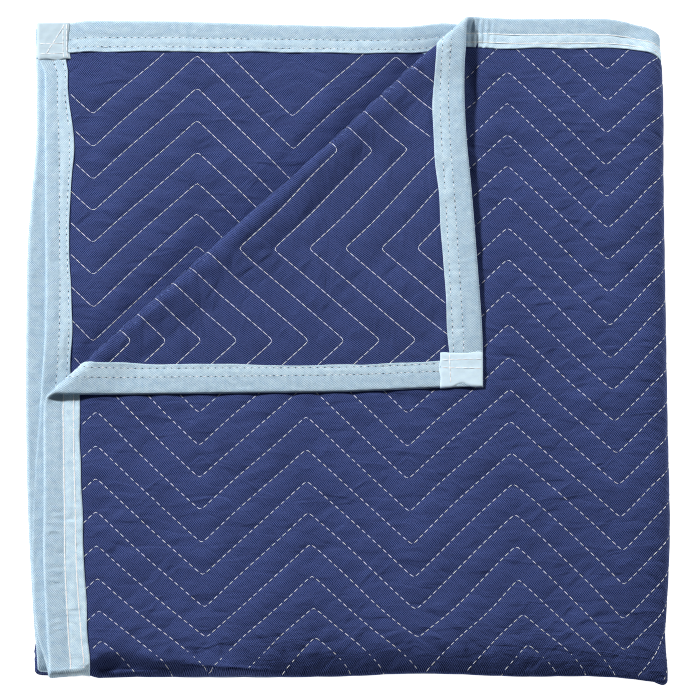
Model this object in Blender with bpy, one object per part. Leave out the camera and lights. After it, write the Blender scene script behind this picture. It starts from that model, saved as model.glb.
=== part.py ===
"""A quilted moving blanket, folded to an eighth of its size, with one corner of its top layer turned over.

Every piece is first shaped flat, as it is cut and sewn: u runs along the cloth's length, v across its width,
and h out of its face side. fold() then carries the flat pieces into the folded stack, so that they stay matched.
The stack stands on Z = 0, X runs along its folded length and Y away from its front folds.
"""

import math

import bmesh
import bpy
import numpy as np
from mathutils import Matrix, Vector

# Quilted panel, in metres
CLOTH_WIDTH = 1.0375
FRONT_FOLD_V = 0.5215
CROWN_THICK = 0.0030
SEAM_THICK = 0.0014
BOUND_THICK = 0.0012

# Zigzag quilting rows
ROW_SPACING = 0.0252
ZIGZAG_LENGTH = 0.1484
ZIGZAG_DEPTH = 3 * ROW_SPACING
FIRST_PEAK_U = 0.0394
FIRST_ROW_V = 0.0465

# Binding tape, folded over the four edges
TAPE_WIDTH = 0.0255
UNDER_TAPE_WIDTH = 0.0215
TAPE_THICK = 0.0006
SEWN_GAP = 0.0003
EDGE_GAP = 0.0018
PUFF_RUN = 0.0022

# The stack: pairs of layers, one on the other
LAYER = 0.0036
PAIR = 2 * LAYER
WIDE_TURN = 1.5 * PAIR
TIGHT_TURN = 0.5 * PAIR
TOP_PAIR_Z = 0.5 * PAIR + 2 * WIDE_TURN
RIGHT_TURN_X = 0.2165
LEFT_TURN_X = -0.2170
TOP_END_X = -0.2212
INNER_END_X = -0.2345
FRONT_Y = -0.2555
BACK_Y = 0.2620
BASE_DROP = (LAYER - CROWN_THICK) / 2

TOP_RUN = RIGHT_TURN_X - TOP_END_X
MIDDLE_RUN = RIGHT_TURN_X - LEFT_TURN_X
INNER_RUN = RIGHT_TURN_X - INNER_END_X
WIDE_ARC = math.pi * WIDE_TURN
TIGHT_ARC = math.pi * TIGHT_TURN

# The length's way through the stack: (stretch, length, turn radius, steps). Radius 0 is straight, + turns left.
LENGTH_ROUTE = (
    ("top pair", TOP_RUN, 0.0, 2),
    ("outer right fold", WIDE_ARC, -WIDE_TURN, 6),
    ("lowest pair", MIDDLE_RUN, 0.0, 2),
    ("left fold", TIGHT_ARC, -TIGHT_TURN, 4),
    ("third pair", MIDDLE_RUN, 0.0, 2),
    ("inner right fold", TIGHT_ARC, TIGHT_TURN, 4),
    ("second pair", INNER_RUN, 0.0, 2),
)
CLOTH_LENGTH = sum(row[1] for row in LENGTH_ROUTE)
RELIEF_END = TOP_RUN + WIDE_ARC

# The width's way through one pair of layers
FRONT_TURN = LAYER / 2
FRONT_ARC = math.pi * FRONT_TURN
WIDTH_ROUTE = (
    ("upper layer", FRONT_FOLD_V - FRONT_ARC / 2, 0.0, 1),
    ("front fold", FRONT_ARC, FRONT_TURN, 4),
    ("under layer", CLOTH_WIDTH - FRONT_FOLD_V - FRONT_ARC / 2, 0.0, 1),
)

# The turned-over corner: a crease at 45 degrees across the back left corner of the top layer
CREASE_OFFSET = 0.1648
CREASE_TURN = 0.0050
CREASE_FALL = math.radians(20.0)
CREASE_ARC = (math.pi + CREASE_FALL) * CREASE_TURN
SETTLE_TURN = 0.030
CORNER_REST = 0.0042
CORNER_SHEAR = 0.05
CORNER_STRETCH = 0.02
PAST_CORNER = 1.0
CREASE_TOP = CREASE_TURN * (1 + math.cos(CREASE_FALL))
FALL_DEPTH = CREASE_TOP - SETTLE_TURN * (1 - math.cos(CREASE_FALL)) - CORNER_REST
CREASE_ROUTE = (
    ("still flat", PAST_CORNER, 0.0, 1),
    ("crease", CREASE_ARC, CREASE_TURN, 6),
    ("falling", FALL_DEPTH / math.sin(CREASE_FALL), 0.0, 1),
    ("settling", CREASE_FALL * SETTLE_TURN, -SETTLE_TURN, 2),
    ("turned over", PAST_CORNER, 0.0, 1),
)

# How far the bound left ends stray along X, by place across the cloth: (v, shift)
TOP_END_STRAY = (
    (0.320, 0.0000),
    (0.390, 0.0022),
    (0.435, 0.0046),
    (0.495, 0.0082),
    (0.520, 0.0095),
    (0.556, -0.0001),
    (0.610, -0.0056),
    (0.700, -0.0051),
    (0.780, -0.0012),
    (0.893, -0.0039),
    (0.976, -0.0065),
    (1.036, -0.0083),
)
INNER_END_STRAY = (
    (0.000, 0.0060),
    (0.300, 0.0040),
    (0.520, 0.0140),
    (0.560, 0.0110),
    (0.650, 0.0040),
    (0.780, -0.0012),
    (0.860, -0.0024),
    (0.950, 0.0012),
    (1.036, -0.0020),
)
# How far the right folds stray along X, by place from front to back: (y, shift)
RIGHT_STRAY = (
    (-0.250, -0.0090),
    (-0.220, -0.0067),
    (-0.160, -0.0020),
    (-0.050, -0.0004),
    (0.120, 0.0019),
    (0.230, 0.0037),
    (0.265, 0.0026),
)
# How far each pair's front fold lies back from the top one, by place along the cloth: (u, shift)
FRONT_SETBACK = (
    (0.000, 0.0006),
    (0.040, 0.0036),
    (0.120, 0.0040),
    (0.216, 0.0052),
    (0.256, 0.0070),
    (0.333, 0.0054),
    (0.410, 0.0056),
    (0.436, 0.0036),
    (0.454, 0.0030),
    (0.472, 0.0100),
    (0.560, 0.0110),
    (0.940, 0.0100),
    (1.350, 0.0105),
    (CLOTH_LENGTH - 0.060, 0.0090),
    (CLOTH_LENGTH, 0.0100),
)
SETBACK_REACH = 0.080
COVERED_MARGIN = 0.020
# How far each pair's back edges lie from the top one's: (u, shift)
BACK_STRAY = (
    (0.000, 0.0034),
    (0.040, 0.0046),
    (0.100, 0.0042),
    (0.160, 0.0018),
    (0.240, 0.0012),
    (0.330, 0.0006),
    (0.410, 0.0000),
    (0.450, -0.0040),
    (0.900, -0.0030),
    (1.360, -0.0040),
    (CLOTH_LENGTH, 0.0010),
)
BACK_REACH = 0.150

# How much of its full height the stack keeps, by distance from the front fold: (distance, share)
FRONT_PRESS = ((0.003, 0.64), (0.012, 0.80), (0.024, 0.94), (0.042, 1.00))
# How much lower the stack is at its right folds than at its left end, as a share of its height
RIGHT_TAPER = 0.05
STRAY_CUTS = (0.320, 0.390, 0.435, 0.556, 0.610, 0.700, 0.780, 0.893, 0.976)
TINY = 1e-6

FACE_NAVY = (0.033, 0.044, 0.165, 1.0)
TAPE_BLUE = (0.34, 0.50, 0.66, 1.0)


def clear_scene():
    for obj in list(bpy.data.objects):
        bpy.data.objects.remove(obj, do_unlink=True)


def curve_through(rows, at):
    """A smooth curve through (place, value) rows, level beyond its ends."""
    place, value = np.array(rows).T
    slope = np.gradient(value, place)
    i = np.clip(np.searchsorted(place, at) - 1, 0, len(place) - 2)
    step = place[i + 1] - place[i]
    t = np.clip((at - place[i]) / step, 0.0, 1.0)
    start = (1 + 2 * t) * (1 - t) ** 2 * value[i] + t * (1 - t) ** 2 * step * slope[i]
    end = t * t * (3 - 2 * t) * value[i + 1] + t * t * (t - 1) * step * slope[i + 1]
    return start + end


def ease(t):
    t = np.clip(t, 0.0, 1.0)
    return t * t * (3 - 2 * t)


def corners_of(route, start, heading):
    """Each corner of a route: how far along it is, its place, and the way that the route's left side faces."""
    at, (p, q) = 0.0, start
    corners = [(at, p, q, -math.sin(heading), math.cos(heading))]
    for _, length, radius, steps in route:
        for k in range(1, steps + 1):
            s = length * k / steps
            now = heading + (s / radius if radius else 0.0)
            if radius:
                ahead = radius * (math.sin(now) - math.sin(heading))
                up = radius * (math.cos(heading) - math.cos(now))
            else:
                ahead, up = s * math.cos(heading), s * math.sin(heading)
            corners.append((at + s, p + ahead, q + up, -math.sin(now), math.cos(now)))
        at, p, q = corners[-1][:3]
        heading = now
    return np.array(corners)


def walk(corners, along, aside):
    """Places at distances along a route and to its left."""
    p, q, left_p, left_q = (np.interp(along, corners[:, 0], column) for column in corners.T[1:])
    return p + aside * left_p, q + aside * left_q


LENGTH_CORNERS = corners_of(LENGTH_ROUTE, (TOP_END_X, TOP_PAIR_Z), 0.0)
WIDTH_CORNERS = corners_of(WIDTH_ROUTE, (FRONT_Y + WIDTH_ROUTE[0][1], FRONT_TURN), math.pi)
CREASE_CORNERS = corners_of(CREASE_ROUTE, (-PAST_CORNER, 0.0), 0.0)


def turned_over(x, y, z, h):
    """The top layer's back left corner, rolled up and over along the crease."""
    beyond = (y - x - CREASE_OFFSET) / math.sqrt(2)
    past_arc = np.maximum(beyond - CREASE_ARC, 0.0)
    beside = (x + y) / math.sqrt(2) + CORNER_SHEAR * past_arc
    across, up = walk(CREASE_CORNERS, PAST_CORNER + beyond + CORNER_STRETCH * past_arc, h)
    across = across + CREASE_OFFSET / math.sqrt(2)
    return (beside - across) / math.sqrt(2), (beside + across) / math.sqrt(2), z + up


def fold(flat):
    """Folded places of flat (u, v, h) points."""
    u, v, h = np.asarray(flat, float).T
    y, w = walk(WIDTH_CORNERS, v, -h)
    x, z = walk(LENGTH_CORNERS, u, w)

    over = (u < TOP_RUN) & (v < FRONT_FOLD_V - FRONT_ARC) & (y - x > CREASE_OFFSET)
    x[over], y[over], z[over] = turned_over(x[over], y[over], z[over] - h[over], h[over])

    top = np.clip(1 - u / TOP_RUN, 0.0, None)
    inner = np.clip(1 - (CLOTH_LENGTH - u) / INNER_RUN, 0.0, None)
    x = x + curve_through(TOP_END_STRAY, v) * top + curve_through(INNER_END_STRAY, v) * inner
    x = x + curve_through(RIGHT_STRAY, y) * np.maximum((x - LEFT_TURN_X) / MIDDLE_RUN, 0.0)

    fold_gap = np.abs(v - FRONT_FOLD_V)
    y = y + curve_through(FRONT_SETBACK, u) * (1 - ease(fold_gap / SETBACK_REACH))
    y = y + np.interp(u, *np.transpose(BACK_STRAY)) * ease(1 + (y - BACK_Y) / BACK_REACH)

    press = np.interp(fold_gap, *np.transpose(FRONT_PRESS))
    taper = 1 - RIGHT_TAPER * (x - LEFT_TURN_X) / MIDDLE_RUN
    return np.column_stack([x, y, (z - BASE_DROP) * press * taper])


def zigzag(u):
    """How far a quilting row has gone across the cloth, from its peak."""
    turns = (u - FIRST_PEAK_U) / ZIGZAG_LENGTH
    return ZIGZAG_DEPTH * 2 * abs(turns - round(turns))


def shows(u, v):
    """Whether quilting rows show here: on the top layer, round the right fold, or where the corner is turned up."""
    past_fold = v - FRONT_FOLD_V - FRONT_ARC
    back_of_crease = FRONT_Y + past_fold - TOP_END_X - u - CREASE_OFFSET
    return u < RELIEF_END and (past_fold < TINY or back_of_crease > -COVERED_MARGIN)


def half_thickness(u, v):
    """Half the panel's thickness: round between quilting rows, and thin under the binding."""
    if shows(u, v):
        row = (v - FIRST_ROW_V - zigzag(u)) / ROW_SPACING
        swell = math.sin(math.pi * abs(row - round(row)))
    else:
        swell = 1.0
    thick = SEAM_THICK + (CROWN_THICK - SEAM_THICK) * swell
    inside = min(u, CLOTH_LENGTH - u, v, CLOTH_WIDTH - v) - TAPE_WIDTH - SEWN_GAP
    puffed = min(1.0, max(0.0, inside / PUFF_RUN))
    return (BOUND_THICK + (thick - BOUND_THICK) * puffed) / 2


def box(low, high):
    """A flat-space box as a mesh in progress."""
    work = bmesh.new()
    bmesh.ops.create_cube(work, size=1.0)
    low, high = Vector(low), Vector(high)
    for vert in work.verts:
        vert.co = Vector(l + (c + 0.5) * (t - l) for c, l, t in zip(vert.co, low, high))
    return work


def cut(work, place, direction, only=None):
    """Cuts the faces that only() keeps, by an upright plane through a (u, v) place."""
    faces = [f for f in work.faces if only is None or only(f.calc_center_median())]
    edges = {e for f in faces for e in f.edges}
    verts = {p for f in faces for p in f.verts}
    bmesh.ops.bisect_plane(
        work,
        geom=[*faces, *edges, *verts],
        dist=TINY,
        plane_co=(*place, 0.0),
        plane_no=(*direction, 0.0),
    )


def cut_at_bends(work):
    """Cuts a flat piece at each corner of its routes, and where the stack thins towards the front."""
    for u in LENGTH_CORNERS[1:-1, 0]:
        cut(work, (u, 0.0), (1.0, 0.0))
    thinning = [FRONT_FOLD_V + side * gap for gap, _ in FRONT_PRESS for side in (-1, 1)]
    for v in [*WIDTH_CORNERS[1:-1, 0], *thinning]:
        cut(work, (0.0, v), (0.0, 1.0))


def cut_at_strays(work, past_u=-1.0):
    """Cuts a flat piece where its ends stray to one side, and where its long edges stray from one another."""
    for v in STRAY_CUTS:
        cut(work, (0.0, v), (0.0, 1.0), lambda c: c.x > past_u)
    for u, _ in BACK_STRAY[1:-1]:
        cut(work, (u, 0.0), (1.0, 0.0), lambda c: min(c.y, CLOTH_WIDTH - c.y) < 2 * TAPE_WIDTH)


def cut_at_crease(work):
    """Cuts the top layer along the lines where its corner rolls over."""
    crease_v = FRONT_Y + WIDTH_ROUTE[0][1] - TOP_END_X - CREASE_OFFSET
    for beyond in CREASE_CORNERS[1:-1, 0] - PAST_CORNER:
        v = crease_v - math.sqrt(2) * beyond
        cut(
            work,
            (0.0, v),
            (1.0, 1.0),
            lambda c: c.x < TOP_RUN and c.y < FRONT_FOLD_V - FRONT_ARC,
        )


def cut_quilting(work):
    """Cuts the panel along each quilting row that shows, and along each crown between rows."""
    covered_v = FRONT_FOLD_V + FRONT_ARC - FRONT_Y + TOP_END_X + CREASE_OFFSET - COVERED_MARGIN
    cut(work, (0.0, covered_v), (-1.0, 1.0), lambda c: c.x < TOP_RUN and c.y > FRONT_FOLD_V + FRONT_ARC)
    half_turns = math.ceil(2 * RELIEF_END / ZIGZAG_LENGTH) + 1
    edges = [FIRST_PEAK_U + (k - 1) * ZIGZAG_LENGTH / 2 for k in range(half_turns + 1)]
    for edge in edges:
        cut(work, (edge, 0.0), (1.0, 0.0), lambda c: shows(c.x, c.y))
    for left, right in zip(edges, edges[1:]):
        from_v, to_v = FIRST_ROW_V + zigzag(left), FIRST_ROW_V + zigzag(right)
        first = math.ceil(-2 * max(from_v, to_v) / ROW_SPACING)
        last = math.floor(2 * (CLOTH_WIDTH - min(from_v, to_v)) / ROW_SPACING)
        for half_rows in range(first, last + 1):
            cut(
                work,
                (left, from_v + half_rows * ROW_SPACING / 2),
                (from_v - to_v, right - left),
                lambda c: left < c.x < right and shows(c.x, c.y),
            )


def new_object(name, work, collection):
    mesh = bpy.data.meshes.new(name)
    work.to_mesh(mesh)
    work.free()
    obj = bpy.data.objects.new(name, mesh)
    collection.objects.link(obj)
    return obj


def finish(work, name, colour, collection):
    """Folds a flat mesh and adds it to the scene as one object."""
    bmesh.ops.triangulate(work, faces=work.faces[:])
    flat = np.array([vert.co for vert in work.verts])
    for vert, place in zip(work.verts, fold(flat)):
        vert.co = place
    # u, v and h make a left-handed frame, so the fold turns each face inside out.
    bmesh.ops.reverse_faces(work, faces=work.faces[:])
    obj = new_object(name, work, collection)
    obj.data.shade_smooth()
    obj.data.materials.append(cloth_material(name + "_cloth", colour))
    return obj


def cloth_material(name, colour):
    """A matt cloth of one colour."""
    material = bpy.data.materials.new(name)
    material.use_nodes = True
    shader = material.node_tree.nodes["Principled BSDF"]
    shader.inputs["Base Color"].default_value = colour
    shader.inputs["Roughness"].default_value = 0.9
    material.diffuse_color = colour
    return material


def quilted_panel(collection):
    edge = EDGE_GAP
    work = box((edge, edge, -0.5), (CLOTH_LENGTH - edge, CLOTH_WIDTH - edge, 0.5))
    cut_at_bends(work)
    margin = TAPE_WIDTH + SEWN_GAP
    for inset in (margin, margin + PUFF_RUN):
        for u in (inset, CLOTH_LENGTH - inset):
            cut(work, (u, 0.0), (1.0, 0.0))
        for v in (inset, CLOTH_WIDTH - inset):
            cut(work, (0.0, v), (0.0, 1.0))
    cut_at_strays(work, RELIEF_END)
    cut_quilting(work)
    cut_at_crease(work)
    for vert in work.verts:
        vert.co.z = math.copysign(half_thickness(vert.co.x, vert.co.y), vert.co.z)
    return finish(work, "quilted_panel", FACE_NAVY, collection)


def channel(name, outside, pocket, under, collection):
    """A binding tape: a flat-space box, less a pocket for the panel's edge and a strip off its under side."""
    body = new_object(name + "_outside", box(*outside), collection)
    cutters = [new_object(name + "_cutter", box(*corners), collection) for corners in (pocket, under)]
    for cutter in cutters:
        taken = body.modifiers.new("taken out", "BOOLEAN")
        taken.operation = "DIFFERENCE"
        taken.object = cutter
    evaluated = body.evaluated_get(bpy.context.evaluated_depsgraph_get())
    mesh = bpy.data.meshes.new_from_object(evaluated)
    for helper in (body, *cutters):
        bpy.data.objects.remove(helper, do_unlink=True)
    work = bmesh.new()
    work.from_mesh(mesh)
    bpy.data.meshes.remove(mesh)
    bmesh.ops.triangulate(work, faces=work.faces[:])
    cut_at_bends(work)
    cut_at_strays(work)
    cut_at_crease(work)
    return finish(work, name, TAPE_BLUE, collection)


def tape_section(edge, inward):
    """Where a tape's outside, its pocket and the strip off its under side lie, from the edge it binds."""
    face, wall = CROWN_THICK / 2, CROWN_THICK / 2 - TAPE_THICK
    return (
        (*sorted((edge, edge + inward * TAPE_WIDTH)), -face, face),
        (*sorted((edge + inward * TAPE_THICK, edge + inward * 2 * TAPE_WIDTH)), -wall, wall),
        (*sorted((edge + inward * UNDER_TAPE_WIDTH, edge + inward * 2 * TAPE_WIDTH)), -2 * face, 0.0),
    )


def side_binding(name, edge_v, inward, collection):
    """The tape along one long edge, which also closes the corners at its ends."""
    spans = (
        (0.0, CLOTH_LENGTH),
        (TAPE_THICK, CLOTH_LENGTH - TAPE_THICK),
        (TAPE_WIDTH, CLOTH_LENGTH - TAPE_WIDTH),
    )
    boxes = [
        ((start_u, low_v, low_h), (end_u, high_v, high_h))
        for (start_u, end_u), (low_v, high_v, low_h, high_h) in zip(spans, tape_section(edge_v, inward))
    ]
    return channel(name, *boxes, collection)


def end_binding(name, edge_u, inward, collection):
    """The tape along one short edge, between the two side tapes."""
    inset = TAPE_WIDTH + SEWN_GAP
    spans = ((inset, CLOTH_WIDTH - inset), (0.0, CLOTH_WIDTH), (0.0, CLOTH_WIDTH))
    boxes = [
        ((low_u, start_v, low_h), (high_u, end_v, high_h))
        for (start_v, end_v), (low_u, high_u, low_h, high_h) in zip(spans, tape_section(edge_u, inward))
    ]
    return channel(name, *boxes, collection)


def stand_at_origin(objects):
    """Moves the whole stack so that the middle of its footprint is over the origin."""
    points = np.array([vert.co for obj in objects for vert in obj.data.vertices])
    middle = (points.min(axis=0) + points.max(axis=0)) / 2
    for obj in objects:
        obj.data.transform(Matrix.Translation((-middle[0], -middle[1], 0.0)))


def main():
    clear_scene()
    collection = bpy.data.collections.new("moving_blanket")
    bpy.context.scene.collection.children.link(collection)
    stand_at_origin(
        [
            quilted_panel(collection),
            end_binding("binding_top_end", 0.0, 1.0, collection),
            end_binding("binding_inner_end", CLOTH_LENGTH, -1.0, collection),
            side_binding("binding_upper_side", 0.0, 1.0, collection),
            side_binding("binding_under_side", CLOTH_WIDTH, -1.0, collection),
        ]
    )


main()
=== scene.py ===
"""A folded moving blanket: quilted navy cloth, pale blue binding tape and off-white stitching.

Each piece is shaped flat, as it is cut and sewn (u along the cloth, v across it, h out of its face side), and
fold() carries it into the folded stack, by the same routes as the CAD's solids.
"""

import math

import bpy
import numpy as np
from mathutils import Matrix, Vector


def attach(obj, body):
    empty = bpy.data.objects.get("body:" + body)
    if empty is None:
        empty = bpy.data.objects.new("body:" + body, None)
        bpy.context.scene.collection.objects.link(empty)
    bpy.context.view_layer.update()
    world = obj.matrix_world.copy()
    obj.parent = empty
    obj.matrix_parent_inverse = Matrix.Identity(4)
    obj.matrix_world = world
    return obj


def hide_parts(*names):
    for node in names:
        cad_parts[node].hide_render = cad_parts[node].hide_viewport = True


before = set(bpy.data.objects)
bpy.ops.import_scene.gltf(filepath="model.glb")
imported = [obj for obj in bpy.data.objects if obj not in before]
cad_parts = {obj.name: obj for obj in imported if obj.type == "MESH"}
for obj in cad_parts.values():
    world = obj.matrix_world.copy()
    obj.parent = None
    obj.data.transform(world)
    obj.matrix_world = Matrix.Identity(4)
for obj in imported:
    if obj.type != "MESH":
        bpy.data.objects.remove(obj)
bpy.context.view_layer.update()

MM = 0.001


def mm(*rows):
    """A table in metres from rows in millimetres."""
    return np.array(rows) * MM


# Cloth. Lengths are in metres
CLOTH_WIDTH = 1.0375
FRONT_FOLD_V = 0.5215
CROWN_HALF = 0.0017
SEAM_HALF = 0.0005
BOUND_HALF = 0.0006
FOLDED_HALF = 0.0014
CROWN_LIMIT = 1.08
PLUMPNESS = 2.4
LOOSENESS = 2
UNEVEN_PLUMP = 0.12
TAUT_SHARE = 0.75
TAUT_REACH = 0.014
RIGHT_FOLD_U = 0.455
RIGHT_FOLD_FLAT = 0.008
UNDER_HEM = {1: 0.0014, -1: 0.0028}

# Quilting: lines of zigzag, numbered in rows across the cloth
ZIGZAG_LENGTH = 0.1484
ZIGZAG_ROWS = 3.0
FIRST_PEAK_U = 0.0394
# (place across the cloth, row)
ROW_PLACES = (
    (-0.1602, -8.0), (0.0462, 0.0), (0.1497, 4.0), (0.2527, 8.0), (0.3534, 12.0), (0.4501, 16.0),
    (0.4988, 18.0), (0.7805, 29.0), (0.9643, 36.0), (1.1739, 44.0),
)
LAST_ROW = 36
APEX_ROUND = 0.0012
PULL_REACH = 0.03
PULL_EASE = 0.02
# How the cloth carries the quilting askew: (place along, place across, shift along, shift across)
QUILTING_PULL = mm(
    (39, 329, -0.9, -10.2), (39, 379, -2.2, -6.2), (39, 451, -1, -2.7), (114, 327, -1.4, -7.7),
    (114, 376, -2.1, -6), (114, 449, 0.4, -4.2), (188, 329, 2.6, -5.6), (188, 379, 0.7, -4.3),
    (188, 451, 4.8, -5.3), (262, 327, 1.5, -7.9), (262, 376, -1.5, -5), (262, 449, 3.1, -2.3),
    (336, 47, -0.1, -1.9), (336, 99, -0.7, -1.9), (336, 151, -0.1, -2.6), (336, 202, -0.1, -4),
    (336, 254, 0, -3.1), (336, 304, 1, -1.1), (336, 355, 0.2, -3), (336, 427, 1.9, -4.7),
    (336, 500, 7.8, 0.7), (410, 71, -0.5, -3.2), (410, 123, -2.7, -0.9), (410, 174, -0.3, -1.9),
    (410, 226, -1.3, -2), (410, 277, -0.4, 1.1), (410, 327, 2.6, -1.4), (410, 376, 1.9, -2.1),
    (410, 449, 5.8, -0.1), (39, 966, -3.9, -2.8), (39, 913, -4, -1.9), (39, 860, -4.8, -0.5),
    (39, 808, -4.4, -0.2), (114, 1015, -0.2, -6.8), (114, 963, -1, -7), (114, 911, -1.4, -3.4),
    (114, 858, -2.6, -0.5), (188, 966, -5, -2.9), (262, 1015, -0.8, -3.5), (114, 174, 1, -6.5),
    (114, 123, 2.1, -3.5), (114, 71, 0.2, -4), (39, 254, 1.9, -7.7), (39, 202, 3.3, -4.9),
    (39, 151, 1.7, -3.8), (39, 99, 1.4, -1.8), (39, 47, 0.4, 0.3), (188, 99, 6.9, -1.1),
    (188, 47, 8.6, -4.3), (418, 510, 1, 5),
)
PUFF_RUN = 0.003
EDGE_GAP = 0.0018

# The stack. A route is rows of (length, turn radius, steps): radius 0 is straight, + turns left
LAYER = 0.0036
PAIR = 2 * LAYER
WIDE_TURN = 1.5 * PAIR
TIGHT_TURN = 0.5 * PAIR
TOP_PAIR_Z = 0.5 * PAIR + 2 * WIDE_TURN
RIGHT_TURN_X = 0.2165
LEFT_TURN_X = -0.217
TOP_END_X = -0.2212
INNER_END_X = -0.2345
FRONT_Y = -0.2555
BACK_Y = 0.262
BASE_DROP = 0.0003
CAD_SHIFT = (0.00099, -0.00307)
TOP_RUN = RIGHT_TURN_X - TOP_END_X
MIDDLE_RUN = RIGHT_TURN_X - LEFT_TURN_X
INNER_RUN = RIGHT_TURN_X - INNER_END_X
WIDE_ARC = math.pi * WIDE_TURN
TIGHT_ARC = math.pi * TIGHT_TURN
LENGTH_ROUTE = (
    (TOP_RUN, 0.0, 1),
    (WIDE_ARC, -WIDE_TURN, 36),
    (MIDDLE_RUN, 0.0, 1),
    (TIGHT_ARC, -TIGHT_TURN, 16),
    (MIDDLE_RUN, 0.0, 1),
    (TIGHT_ARC, TIGHT_TURN, 16),
    (INNER_RUN, 0.0, 1),
)
CLOTH_LENGTH = sum(row[0] for row in LENGTH_ROUTE)
FRONT_TURN = LAYER / 2
FRONT_ARC = math.pi * FRONT_TURN
WIDTH_ROUTE = (
    (FRONT_FOLD_V - FRONT_ARC / 2, 0.0, 1),
    (FRONT_ARC, FRONT_TURN, 16),
    (CLOTH_WIDTH - FRONT_FOLD_V - FRONT_ARC / 2, 0.0, 1),
)
CREASE_OFFSET = 0.1648
CREASE_TURN = 0.005
CREASE_FALL = math.radians(14.0)
CREASE_ARC = (math.pi + CREASE_FALL) * CREASE_TURN
SETTLE_TURN = 0.045
CORNER_REST = 0.0042
CORNER_SHEAR = 0.05
CORNER_STRETCH = 0.02
PAST_CORNER = 1.0
CREASE_TOP = CREASE_TURN * (1 + math.cos(CREASE_FALL))
FALL_DEPTH = CREASE_TOP - SETTLE_TURN * (1 - math.cos(CREASE_FALL)) - CORNER_REST
CREASE_ROUTE = (
    (PAST_CORNER, 0.0, 1),
    (CREASE_ARC, CREASE_TURN, 32),
    (FALL_DEPTH / math.sin(CREASE_FALL), 0.0, 1),
    (CREASE_FALL * SETTLE_TURN, -SETTLE_TURN, 12),
    (PAST_CORNER, 0.0, 1),
)
# How the stack lies uneven. Ends: (place across the cloth, shift along x)
TOP_END_STRAY = mm(
    (320, 0), (390, 2.2), (435, 3.2), (495, 7.6), (520, 9.3), (556, -0.1), (610, -5.6), (700, -5.1),
    (780, -1.2), (893, -3.9), (976, -6.5), (1036, -8.3),
)
INNER_END_STRAY = mm(
    (0, 6), (300, 4), (520, 14), (560, 11), (650, 4), (780, -1.2), (860, -2.4), (950, 1.2), (1036, -2),
)
# Right folds: (y, shift along x)
RIGHT_STRAY = mm(
    (-250, -5.3), (-238, -5.8), (-226, -6.9), (-212, -5.8), (-160, -2), (-50, -0.4), (120, 1.9),
    (230, 3.7), (265, 2.6),
)
# Front folds and back edges: (place along the cloth, shift along y)
FRONT_SETBACK = mm(
    (0, 0.6), (40, 3.6), (120, 4), (216, 5.2), (256, 7), (333, 5.4), (410, 5.6), (436, 3.6), (454, 3),
    (472, 10), (560, 11), (940, 10), (1350, 10.5), (CLOTH_LENGTH / MM - 60, 9), (CLOTH_LENGTH / MM, 10),
)
SETBACK_REACH = 0.06
BACK_STRAY = mm(
    (0, 3.4), (24, 4), (36, 6.2), (100, 5.6), (160, 3.4), (240, 1.2), (275, 1.2), (300, 2), (318, 2),
    (340, 0.8), (400, 1.2), (426, 0.6), (440, -1.2), (450, -4), (900, -3), (1360, -4),
    (CLOTH_LENGTH / MM, 1),
)
BACK_REACH = 0.15
FLOOR_CLEAR = 0.0001
# Height kept at the front folds: a pressed edge at the left, by (place along, share kept) and (place along,
# width), and past that a soft roundover, by (distance from the fold, share kept)
FRONT_LOW = ((0.024, 0.93), (0.036, 0.62))
PRESSED_EDGE = mm((20, 3.6), (27, 6), (39, 12), (80, 7.4), (116, 3.6), (144, 2))
SOFT_PRESS = (
    (0.000, 0.600), (0.002, 0.670), (0.006, 0.780), (0.011, 0.880), (0.017, 0.955), (0.024, 0.993),
    (0.032, 1.000),
)
SOFT_FROM = (0.125, 0.175)
LIP_RISE = 0.055
LIP_PLACE = (0.0024, 0.0011)
SHOWN_FRONT = 0.45
HIDDEN_FRONT = 0.3
EDGE_CRISPNESS = 14.0
EDGE_BOW = 1.5
RIGHT_TAPER = 0.05
# Corners that droop: (share of the height lost, x where that starts and ends, y where that starts and ends)
DROOPS = (
    (0.34, 0.190, 0.224, 0.226, 0.264),
    (0.29, 0.050, 0.235, 0.000, -0.250),
    (0.40, 0.165, 0.226, -0.150, -0.245),
)
DENT_DEPTH = 0.028
# A dip beside the turned-over corner's tip, and soft creases: (x, y, reach along, reach across, way, rise)
DENTS = (
    (0.0925, 0.2030, 0.024, 0.0055, 97.0, -0.0030),
    (-0.150, -0.135, 0.030, 0.0035, 47.0, 0.0011),
    (-0.120, -0.090, 0.022, 0.0030, 52.0, 0.0008),
    (0.160, 0.030, 0.045, 0.0040, 4.0, 0.0010),
    (0.172, -0.045, 0.036, 0.0045, -8.0, 0.0011),
    (0.150, -0.120, 0.050, 0.0050, 12.0, 0.0010),
    (0.060, -0.150, 0.040, 0.0040, 20.0, 0.0008),
    (-0.020, -0.120, 0.030, 0.0040, 50.0, 0.0008),
    (0.120, 0.110, 0.030, 0.0040, -14.0, 0.0008),
)
# Local shifts and rises. A pair named U is where one fades along the cloth, V across it and ASIDE beyond the
# crease. A pair named PLACE is a middle and a width
STRAY_FADES_U = (0.40, 0.55)
CREPT_FADES_V = (0.02, 0.12)
PULLED_OUT = 0.005
PULLED_OUT_V = (0.994, 1.012)
PULLED_OUT_U = (0.022, 0.062)
CREASE_FLAT = 0.4
CREASE_FLAT_U = (0.0, 0.080)
CREASE_FLAT_RUN = 0.012
CORNER_RAISE = 0.0029
CORNER_RAISE_U = (0.0, 0.070)
CORNER_RAISE_V = (0.0, 0.110)
TIP_RISE = 0.0044
TIP_RISE_U = 0.262
TIP_RISE_REACH = (0.160, 0.024)
TIP_RISE_V = (0.0, 0.060)
TIP_GATHER = 0.0034
TIP_GATHER_PLACE = (0.300, 0.018)
TIP_GATHER_V = (0.960, 1.020)
CREASE_SINK = 0.0031
SINK_ASIDE = (0.004, 0.034)
SINK_U = (0.41, 0.46)
SINK_V = (0.56, 0.60)
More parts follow.
